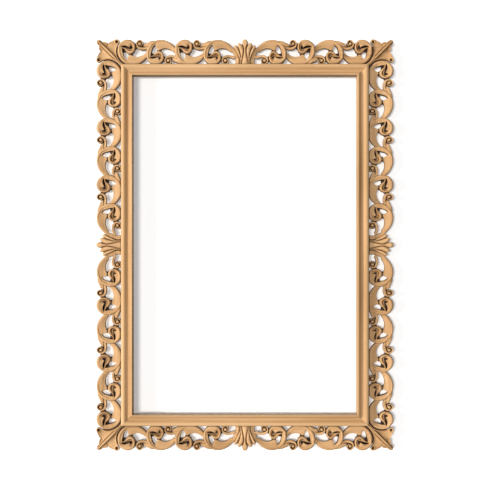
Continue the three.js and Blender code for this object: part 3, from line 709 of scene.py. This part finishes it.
def leaf_carving(along, place, span, narrowing, x, y):
    """The leaf's height and painted light and wear at places on its rows. The height is a hollow blade
    with two ridges, a notch between its lobes, a drilled eye, a neck and a bulb, then the midrib and
    the groove beside it, all of it falling away to the tip. Painted shade darkens the groove, eye,
    neck and notch, and the blade's outer edge is a little paler, partly wear and partly painted
    highlight."""
    from_groove = (place - RIB_GROOVE * narrowing) / narrowing
    blade_width = np.maximum(span - BLADE_START * narrowing, 0.5)
    out = np.clip((place - BLADE_START * narrowing) / blade_width, 0, 1)
    to_eye, to_neck, to_bulb = (
        np.hypot(x - right, y - up) for right, up in (LEAF_EYE, LEAF_NECK, LEAF_BULB)
    )
    past_rib = eased((out - 0.2) / 0.5)
    blade = 13.4 + 0.4 * eased(along * 2) - 3.2 * np.sin(np.pi * out**0.8) * eased(along * 3)
    blade = blade + 1.6 * eased(out) * eased((along - 0.4) * 5)
    ridges = 1.3 * bell(along - 0.64, 0.07) + 1.1 * bell(along - 0.875, 0.03)
    level = blade + ridges * eased(out * 1.6)
    level = level - 4.0 * bell(along - NOTCH_ROW, 0.02) * past_rib
    level = level + 1.8 * bell(to_eye - 4.6, 2.0) - 12 * bell(to_eye, 2.9, 4)
    level = level + 3.0 * np.sqrt(np.clip(1 - (to_bulb / BULB_RADIUS) ** 2, 0, 1))
    level = level - 4.0 * bell(to_neck, 2.0)
    rib_top = 17.0 + 0.8 * eased(along * 1.5) - 0.9 * (place / 3.1) ** 2
    on_rib = eased(0.4 - from_groove)
    level = np.where(from_groove < 0, rib_top * on_rib + (blade - 2.4) * (1 - on_rib), level)
    level = level - 3.4 * bell(from_groove, 0.75) * np.minimum(1, narrowing * 1.5)
    level = np.minimum(level, LEAF_TOP) - FALL * np.maximum((x + y) / 2 - FALL_START, 0)
    painted_light_and_wear = bell(from_groove, 0.8) + 1.2 * bell(to_eye, 3.1, 6) + 0.9 * bell(to_neck, 1.9)
    painted_light_and_wear = painted_light_and_wear + 0.9 * bell(along - NOTCH_ROW, 0.013) * past_rib - 0.2 * eased((out - 0.8) * 5)
    return level, painted_light_and_wear


def leaf_half():
    """Half a leaf above the diagonal. Rows run along the midrib, and each is a straight line from
    the midrib out to the leaf's edge, round it and down the wall to the bare back. The midrib and
    its groove narrow where a row is short."""
    row = np.linspace(0, 1, 170)
    rib_line, edge = leaf_lines(row)
    span = np.hypot(*(edge - rib_line).T)[:, None]
    round_off = np.minimum(1.5, 0.3 * span)
    narrowing = np.minimum(1, span / FULL_SPAN)
    near = narrowing * np.array([0, 1.2, 2.3, 3.1, 3.7, RIB_GROOVE, 4.9, BLADE_START, 7.0])
    far = near[:, -1:] + (span - round_off - near[:, -1:]) * np.linspace(0, 1, 24)[1:]
    place = np.hstack([near, far])
    points = across_rows(rib_line, edge, place / span)
    level, painted_light_and_wear = leaf_carving(row[:, None], place, span, narrowing, *np.moveaxis(points, -1, 0))
    bend = np.radians([60, 30, 0])
    edge_level = level[:, -1:] - round_off * (1 - np.sin(bend))
    lean_in = np.minimum(2.2, 0.2 * span)
    foot = span - lean_in
    wall_place = np.hstack([
        span - round_off * (1 - np.cos(bend)), span - 0.3 * lean_in, foot, foot,
        np.minimum(0.6, 0.5 * foot),
    ])
    wall_level = np.hstack([
        edge_level, 0.5 * edge_level[:, -1:], 0 * span + BARE_EDGE, 0 * span, 0 * span,
    ])
    wall = across_rows(rib_line, edge, wall_place / span)
    # The wall is paler at its top edge, partly wear and partly painted highlight, and darkened with painted
    # shade towards the back.
    wall_painted_light_and_wear = np.ones_like(span) * [-0.3, 0.0, 0.5, 0.9, 1.0, BARE, BARE]
    rings = np.concatenate([np.dstack([points, level]), np.dstack([wall, wall_level])], 1)
    return rings, np.hstack([painted_light_and_wear, wall_painted_light_and_wear])


def groove_ground():
    """The sunk ground of the groove beside a scroll's back: a flat strip along the same spiral,
    darkened with painted shade.
    """
    angle = np.linspace(256, 168, 40)
    middle = plain_spiral(angle)
    rings, painted_light_and_wear = carved_band(
        beside_scroll(middle + 4.4, angle), beside_scroll(middle - 2.0, angle), np.full_like(angle, 5.0),
        back=0.4, soft=0.4,
    )
    rings[..., 1] = np.maximum(rings[..., 1], GLUE_GAP)
    painted_light_and_wear[:, 1:-1] = 1.0
    return rings, painted_light_and_wear


leaf_seat = (*(SIGHT / 2 + MOULDING_WIDTH), BORDER_SET)
ground, ground_painted_light_and_wear = groove_ground()
upper, upper_painted_light_and_wear = leaf_half()
leaf = np.concatenate([upper[:, :0:-1][..., [1, 0, 2]], upper], 1)
leaf_painted_light_and_wear = np.concatenate([upper_painted_light_and_wear[:, :0:-1], upper_painted_light_and_wear], 1)
leaf_shells = [(leaf, leaf_painted_light_and_wear), (ground, ground_painted_light_and_wear), (ground[..., [1, 0, 2]], ground_painted_light_and_wear)]
for name, mirror in CORNERS.items():
    placed = [((rings + leaf_seat) * (*mirror, 1), painted_light_and_wear, False) for rings, painted_light_and_wear in leaf_shells]
    solid(f"carved_{name}_corner_leaf", placed, rail_beech, "frame", [f"{name}_corner_leaf"],
          crease=60)

# Palmettes. A fan of five carved ribs at the middle of each side, the middle one ending in a round
# knob, between the tails of the last scrolls. Each is glued to the moulding's edge.
PALMETTE_LANES = 3
PALMETTE_ROUND = 1.6
KNOB_CENTRE = 58
KNOB_RADIUS = 8.6


def lane_lines(out):
    """How far across the lines between the lanes lie at each distance out: a straight one in the
    middle, then one round the knob and two that bend outward from the base."""
    flat = out.ravel()
    return np.stack([
        np.zeros_like(flat),
        flowing([(0, 10.2), (8, 9), (14, 7.6), (22, 5.6), (33, 2.8), (40, 2.3), (46, 3.8), (52, 7.0),
                 (57, 8.6), (67, 8.6)], flat),
        flowing([(0, 11.9), (14, 10.2), (22, 11.4), (30, 13.4), (38, 15.8), (45, 19), (55, 23)], flat),
        flowing([(0, 14), (8, 12.8), (14, 13), (22, 17), (30, 21.4), (38, 25.6), (45, 30), (52, 33)], flat),
    ]).reshape(PALMETTE_LANES + 1, *out.shape)


def palmette_shell():
    """The fan as lanes across by lengths outward. The length of each lane follows the scalloped
    edge. The two lanes in the middle make one round rib and each other lane makes one, between
    grooves that deepen away from the base. Painted shade darkens the grooves, the foot along the
    seam and the walls, and the ribs' tops are a little paler, partly wear and partly painted
    highlight."""
    lane = np.linspace(-PALMETTE_LANES, PALMETTE_LANES, 193)
    tip = flowing([
        (0, 66.8), (0.35, 66.4), (0.7, 63.6), (0.9, 58.4), (1, 54.4), (1.1, 54), (1.3, 56.4), (1.55, 57),
        (1.8, 54.6), (1.95, 50), (2, 48.6), (2.1, 49.4), (2.4, 51), (2.7, 49.6), (2.9, 46.5), (3, 44),
    ], np.abs(lane))[:, None]
    length = np.concatenate([np.linspace(0, 0.9, 26), np.linspace(0.9, 1, 12)[1:]])
    out = GLUE_GAP + (tip - PALMETTE_ROUND - GLUE_GAP) * length
    lines = lane_lines(out)
    whole = np.minimum(np.abs(lane).astype(int), PALMETTE_LANES - 1)
    share = (np.abs(lane) - whole)[:, None]
    rows = np.arange(len(lane))
    across = lines[whole, rows] * (1 - share) + lines[whole + 1, rows] * share
    across = np.sign(lane)[:, None] * across
    from_middle = np.where(whole[:, None] == 0, share, np.abs(2 * share - 1))
    rib = 1 - np.clip(from_middle, 0, 1) ** 3.2
    rise = 0.88 + 0.1 * eased(length * 1.4)
    deep = 0.36 + 0.14 * eased(length * 2)
    level = RELIEF * rise * (1 - deep * (1 - rib)) * (1 - 0.05 * whole[:, None])
    to_knob = np.hypot(across, out - KNOB_CENTRE) / KNOB_RADIUS
    level = np.minimum(level + 1.5 * np.sqrt(np.clip(1 - to_knob**2, 0, 1)), RELIEF - 0.1)
    level = level - 2.0 * eased((length - 0.93) / 0.07)
    # Painted shade in the grooves and along the seam, and a paler rib top, partly wear and partly painted
    # highlight.
    groove = np.maximum(0.9 * (1 - rib) ** 2 - 0.35 * rib, SEAM_SHADE * (1 - out / SEAM_WIDTH))
    bend = np.radians([60, 30, 0])
    end = np.ones((len(lane), 1))
    edge_level = level[:, -1:] - PALMETTE_ROUND * (1 - np.sin(bend))
    all_out = np.hstack([
        GLUE_GAP * end, GLUE_GAP * end, out, tip - PALMETTE_ROUND * (1 - np.cos(bend)),
        tip - [0.7, 2.2, 2.2],
    ])
    all_across = np.pad(across, ((0, 0), (2, 6)), "edge")
    all_level = np.hstack([
        0 * end, BARE_EDGE * end, level, edge_level, 0.5 * edge_level[:, -1:], BARE_EDGE * end, 0 * end,
    ])
    painted_light_and_wear = np.hstack([BARE * end, 0.8 * end, groove, end * [-0.2, 0.0, 0.5, 0.9, 1.0, BARE]])
    return np.dstack([all_across, all_out, all_level]), painted_light_and_wear


fan, fan_painted_light_and_wear = palmette_shell()
base = np.array([(-19, 0.4), (19, 0.4), (22, 12), (23, 24), (-23, 24), (-22, 12)])
# The ground under the fan is darkened with painted shade.
fan_ground, fan_ground_painted_light_and_wear = prism(base, 0.4, 4.5, 0.5)
for side, quarters in SIDES.items():
    _, _, across, beech = side_facts(quarters)
    seat = (0, across / 2 + MOULDING_WIDTH, BORDER_SET)
    placed = [(turned(fan + seat, quarters), fan_painted_light_and_wear, False),
              (turned(fan_ground + seat, quarters), fan_ground_painted_light_and_wear, False)]
    solid(f"carved_{side}_palmette", placed, beech, "frame", [f"{side}_palmette"], crease=60)

# Turn buttons. Small brass plates with round ends, stamped from sheet and turned on a screw in the
# back of the moulding, so that their free end comes over the rebate and holds a pane.
BUTTON_RADIUS = 5.0
BUTTON_REACH = 9.0
BUTTON_HOLE = 2.15
BUTTON_FACES = (-0.3, -1.8)
BUTTON_EDGE = 0.35
PIVOT_FROM_SIGHT = 18.0
PIVOT_FROM_CORNER = {"rail": 150.0, "stile": 230.0}
# Rolling lines are hundredths of a millimetre apart. They are drawn coarser so that they can be
# seen, at this spacing in millimetres, and break off so many times in a metre.
BRASS_LINES = 0.35
LINE_BREAKS = 60
STAIN_SIZE = 6.25


def sheet_metal(name, light, dark, rough, lines):
    """Bare metal sheet or wire. A fine noise drawn out along X stands for the mill's rolling lines,
    and a broad one for fingering and tarnish."""
    material, tree = blank_material(name)
    place = put(tree, "TexCoord").outputs["Object"]
    drawn = put(tree, "Mapping", {"Vector": place, "Scale": (LINE_BREAKS, 1000 / lines, 1000 / lines)})
    line = put(tree, "TexNoise", {"Vector": drawn.outputs[0], "Scale": 1.0, "Detail": 2.0}).outputs["Fac"]
    stain = put(tree, "TexNoise", {
        "Vector": place, "Scale": 1000 / STAIN_SIZE, "Detail": 3.0,
    }).outputs["Fac"]
    shade = put(tree, "MapRange", {"Value": stain, 1: 0.3, 2: 0.75, 3: 0.0, 4: 1.0}).outputs[0]
    colour = put(tree, "Mix", {0: shade, 6: linear(light), 7: linear(dark)}, data_type="RGBA")
    dull = put(tree, "MapRange", {
        "Value": line, 1: 0.25, 2: 0.75, 3: rough - 0.07, 4: rough + 0.1,
    }).outputs[0]
    bump = put(tree, "Bump", {"Height": line, "Strength": 0.12, "Distance": 0.0001})
    metal = put(tree, "BsdfPrincipled", {
        "Base Color": colour.outputs[2], "Roughness": dull, "Normal": bump.outputs[0], "Metallic": 1.0,
    })
    put(tree, "OutputMaterial", {"Surface": metal.outputs[0]})
    return material


# Rolled brass is a warm yellow with fine lines, browned a little where it has been handled.
brass = sheet_metal("rolled_brass_sheet", "#d9b765", "#b58d40", 0.3, BRASS_LINES)


def button_shell():
    """A plate round a hole: at each angle a closed section from the hole's edge out to the outline,
    which is two half circles a reach apart, its outer edges rounded."""
    angle = whole_turn(64)
    spoke = polar(1.0, angle)
    outer = spoke * BUTTON_RADIUS + np.where(spoke[:, :1] > 1e-9, (BUTTON_REACH, 0), (0, 0))
    inner = spoke * BUTTON_HOLE
    top, bottom = BUTTON_FACES
    section = [
        (inner, bottom), (inner, top), (outer - spoke * BUTTON_EDGE, top), (outer - spoke * 0.1, top - 0.1),
        (outer, top - BUTTON_EDGE), (outer, bottom + BUTTON_EDGE), (outer - spoke * 0.1, bottom + 0.1),
        (outer - spoke * BUTTON_EDGE, bottom),
    ]
    return np.stack([np.column_stack([line, np.full(len(angle), level)]) for line, level in section], 1)


def pivots():
    """Each turn button's side, end, quarter turns and place on the top side before it is turned."""
    for side, quarters in SIDES.items():
        kind, length, across, _ = side_facts(quarters)
        for end, direction in zip(ENDS[side], (1, -1)):
            along = -direction * (length / 2 - PIVOT_FROM_CORNER[kind])
            yield side, end, quarters, (along, across / 2 + PIVOT_FROM_SIGHT, 0)


for side, end, quarters, pivot in pivots():
    node = f"{side}_turn_button_{end}"
    placed = turned(button_shell() + pivot, quarters)
    solid(f"stamped_{node}", [(placed, 0.0, True)], brass, node, [node])

# Pivot screws. One round-head steel screw through each turn button, with a cross recess, left with
# a little play under its head so that the button can turn.
HEAD_RADIUS = 3.5
HEAD_HEIGHT = 1.8
DOME_DROP = 0.55
SHANK_RADIUS = 1.75
SHANK_LENGTH = 10.0
SHANK_POINT = 1.5
CROSS_HALF_WIDTH = 0.45
CROSS_REACH = 1.8
CROSS_DEPTH = 0.95
PIVOT_SEAT = 2.3
STEEL_LINES = 0.3
# Zinc plating is a bright bluish grey, dulled in patches where it has been handled.
zinc_steel = sheet_metal("zinc_plated_steel", "#cfd2d3", "#a7a79f", 0.27, STEEL_LINES)


def screw_shell(seat):
    """A screw turned about its own line: a low dome with a cross pressed into it, a flat underside
    and a plain shank that stands in the wood. The seat is the head's height off the wood's back."""
    dome = np.linspace(0.03, 0.88, 22) * HEAD_RADIUS
    rim = np.array([0.94, 0.98, 1.0, 1.0]) * HEAD_RADIUS
    radius = np.concatenate([dome, rim, [SHANK_RADIUS, SHANK_RADIUS, SHANK_RADIUS * 0.4]])
    end = SHANK_LENGTH + seat
    level = np.concatenate([
        -HEAD_HEIGHT + DOME_DROP * (dome / HEAD_RADIUS) ** 2, [-1.2, -1.0, -0.7, 0.0],
        [0.0, end - SHANK_POINT, end],
    ])
    angle = whole_turn(72)
    points = polar(radius[:, None], angle[None, :])
    short, long = np.sort(np.abs(points), -1).transpose(2, 0, 1)
    cross = bell(short, CROSS_HALF_WIDTH, 4) * bell(long, CROSS_REACH, 8)
    cross[len(dome):] = 0
    return np.dstack([points, level[:, None] + CROSS_DEPTH * cross - seat])


for side, end, quarters, pivot in pivots():
    node = f"{side}_pivot_screw_{end}"
    placed = turned(screw_shell(PIVOT_SEAT) + pivot, quarters)
    solid(f"driven_{node}", [(placed, 0.0, False)], zinc_steel, "frame", [node])

# Hanger straps. A zinc-plated strip on the back of each stile, its top end rolled into a barrel
# for the D-ring and its bottom end rounded, held by two screws.
HANGER_SIDE = {"left": -318.5, "right": 318.5}
BAR_HEIGHT = 349.0
BAR_DEPTH = 3.1
STRAP_LENGTH = 33.0
STRAP_WIDTH = 12.0
STRAP_THICKNESS = 1.2
STRAP_CORNER = 4.0
STRAP_EDGE = 0.3
BARREL_RADIUS = 2.2
BARREL_WRAP = 288


def left_of(steps):
    """Unit directions a quarter turn to the left of steps along a line."""
    return np.stack([-steps[:, 1], steps[:, 0]], -1) / np.hypot(*steps.T)[:, None]


def strap_shell():
    """A flat strip's section carried up the wood and round the bar, where the strip's middle lies
    on a circle. The section is a rectangle with rounded edges, narrowed at the rounded end."""
    up = STRAP_LENGTH * (1 - np.cos(np.linspace(0, np.pi / 2, 26)))
    wrap = np.linspace(0, BARREL_WRAP, 40)[1:]
    line = np.concatenate([
        np.column_stack([up - STRAP_LENGTH, np.full(len(up), BARREL_RADIUS - BAR_DEPTH)]),
        polar(BARREL_RADIUS, wrap)[:, ::-1] - (0, BAR_DEPTH),
    ])
    normal = left_of(np.gradient(line, axis=0))
    into = np.clip(np.concatenate([up, np.full(len(wrap), STRAP_CORNER)]), 0, STRAP_CORNER)
    half = np.sqrt(STRAP_CORNER**2 - (STRAP_CORNER - into) ** 2 + 0.01)
    half = STRAP_WIDTH / 2 - STRAP_CORNER + half
    side = STRAP_THICKNESS / 2 - STRAP_EDGE
    quarter = polar(STRAP_EDGE, [0, 30, 60, 90])
    section = np.concatenate([
        quarter + (-STRAP_EDGE, side), quarter[::-1] * (-1, 1) + (STRAP_EDGE, side),
        quarter * (-1, -1) + (STRAP_EDGE, -side), quarter[::-1] * (1, -1) + (-STRAP_EDGE, -side),
    ])
    hand = np.repeat([1.0, -1.0, -1.0, 1.0], 4)
    x = hand * half[:, None] + section[:, 0]
    return np.dstack([x, line[:, None, :] + normal[:, None, :] * section[None, :, 1:]])


for side, x in HANGER_SIDE.items():
    node = f"{side}_hanger_strap"
    placed = strap_shell() + (x, BAR_HEIGHT, 0)
    solid(f"rolled_{node}", [(placed, 0.0, False)], zinc_steel, "frame", [node])

# D-rings. One length of zinc-plated wire bent to a D and welded shut, free to swing in the strap's
# barrel, from hanging flat on the back to standing straight up.
WIRE_RADIUS = 1.2
RING_HALF = 11.0
RING_CORNER = 3.0
RING_DROP = 8.0


def ring_shell():
    """A round wire carried along a D: a straight bar, two small corners, two short sides and a half
    circle below."""
    bar_half = RING_HALF - RING_CORNER
    right_corner = (bar_half, -RING_CORNER) + polar(RING_CORNER, np.linspace(90, 0, 14))
    bow = (0, -RING_DROP) + polar(RING_HALF, np.linspace(0, -180, 60))
    left_corner = (-bar_half, -RING_CORNER) + polar(RING_CORNER, np.linspace(180, 90, 14))
    bar = np.column_stack([np.linspace(-bar_half, bar_half, 12)[1:-1], np.zeros(10)])
    line = np.concatenate([right_corner, bow, left_corner, bar])
    normal = left_of(np.roll(line, -1, 0) - np.roll(line, 1, 0))
    around = polar(WIRE_RADIUS, whole_turn(18))
    flat = line[:, None, :] + normal[:, None, :] * around[None, :, :1]
    depth = np.broadcast_to(around[:, 1] - BAR_DEPTH, flat.shape[:2])
    return np.dstack([flat, depth])


for side, x in HANGER_SIDE.items():
    node = f"{side}_d_ring"
    placed = ring_shell() + (x, BAR_HEIGHT, 0)
    solid(f"bent_{node}", [(placed, 0.0, True)], zinc_steel, node, [node])

# Hanger screws. Two zinc-plated steel screws of the same kind hold each strap, driven home through
# the strip into the stile.
STRAP_SEAT = 1.8
SCREW_DROPS = {"upper": 11.0, "lower": 26.0}
for side, x in HANGER_SIDE.items():
    for place, drop in SCREW_DROPS.items():
        node = f"{side}_hanger_screw_{place}"
        placed = screw_shell(STRAP_SEAT) + (x, BAR_HEIGHT - drop, 0)
        solid(f"driven_{node}", [(placed, 0.0, False)], zinc_steel, "frame", [node])

# Felt bumpers. Four discs cut from thick wool felt, stuck to the back near the corners, that keep
# the frame off the wall and stop it sliding.
BUMPER_RADIUS = 7.0
BUMPER_PLACE = np.array([318.5, 437.0])
# Wool fibres are about 0.03 mm thick: they are drawn ten times coarser so that they can be seen.
FIBRES_PER_METRE = 2600.0
TUFTS_PER_METRE = 420.0
# Pressed wool is a dull mottled grey with no gloss and a soft fuzz at its edges.
wool_felt, tree = blank_material("grey_wool_felt")
place = put(tree, "TexCoord").outputs["Object"]
fibre = put(tree, "TexNoise", {
    "Vector": place, "Scale": FIBRES_PER_METRE, "Detail": 4.0, "Distortion": 1.5,
}).outputs["Fac"]
tufts = put(tree, "TexNoise", {"Vector": place, "Scale": TUFTS_PER_METRE, "Detail": 2.0}).outputs["Fac"]
fuzz = put(tree, "Math", {0: fibre, 1: 0.6}, operation="MULTIPLY").outputs[0]
mixed = put(tree, "Math", {0: tufts, 1: 0.4, 2: fuzz}, operation="MULTIPLY_ADD").outputs[0]
shade = put(tree, "MapRange", {"Value": mixed, 1: 0.35, 2: 0.65, 3: 0.0, 4: 1.0}).outputs[0]
colour = put(tree, "Mix", {0: shade, 6: linear("#4b4742"), 7: linear("#7b756c")}, data_type="RGBA")
bump = put(tree, "Bump", {"Height": mixed, "Strength": 0.6, "Distance": 0.0004})
felt = put(tree, "BsdfPrincipled", {
    "Base Color": colour.outputs[2], "Roughness": 0.95, "Normal": bump.outputs[0], "IOR": 1.5,
    "Sheen Weight": 0.35,
})
put(tree, "OutputMaterial", {"Surface": felt.outputs[0]})


def bumper_shell():
    """A disc turned about its own line, its free edge rubbed round and its sides swelling a little."""
    radius = np.array([0.96, 0.99, 1.0, 1.0, 0.98, 0.93, 0.84, 0.6, 0.3, 0.02]) * BUMPER_RADIUS
    level = np.array([-0.3, -0.6, -1.8, -3.8, -4.9, -5.55, -5.9, -6.0, -6.0, -6.0])
    angle = whole_turn(64)
    wobble = 1 - 0.008 * (1 + np.sin(np.radians(7 * angle)) * np.cos(np.radians(3 * angle)))
    points = polar(radius[:, None] * wobble[None, :], angle[None, :])
    return np.dstack([points, np.broadcast_to(level[:, None], points.shape[:2])])


for name, mirror in CORNERS.items():
    node = f"{name}_felt_bumper"
    placed = bumper_shell() + (*(BUMPER_PLACE * mirror), 0)
    solid(f"cut_{node}", [(placed, 0.0, False)], wool_felt, "frame", [node])
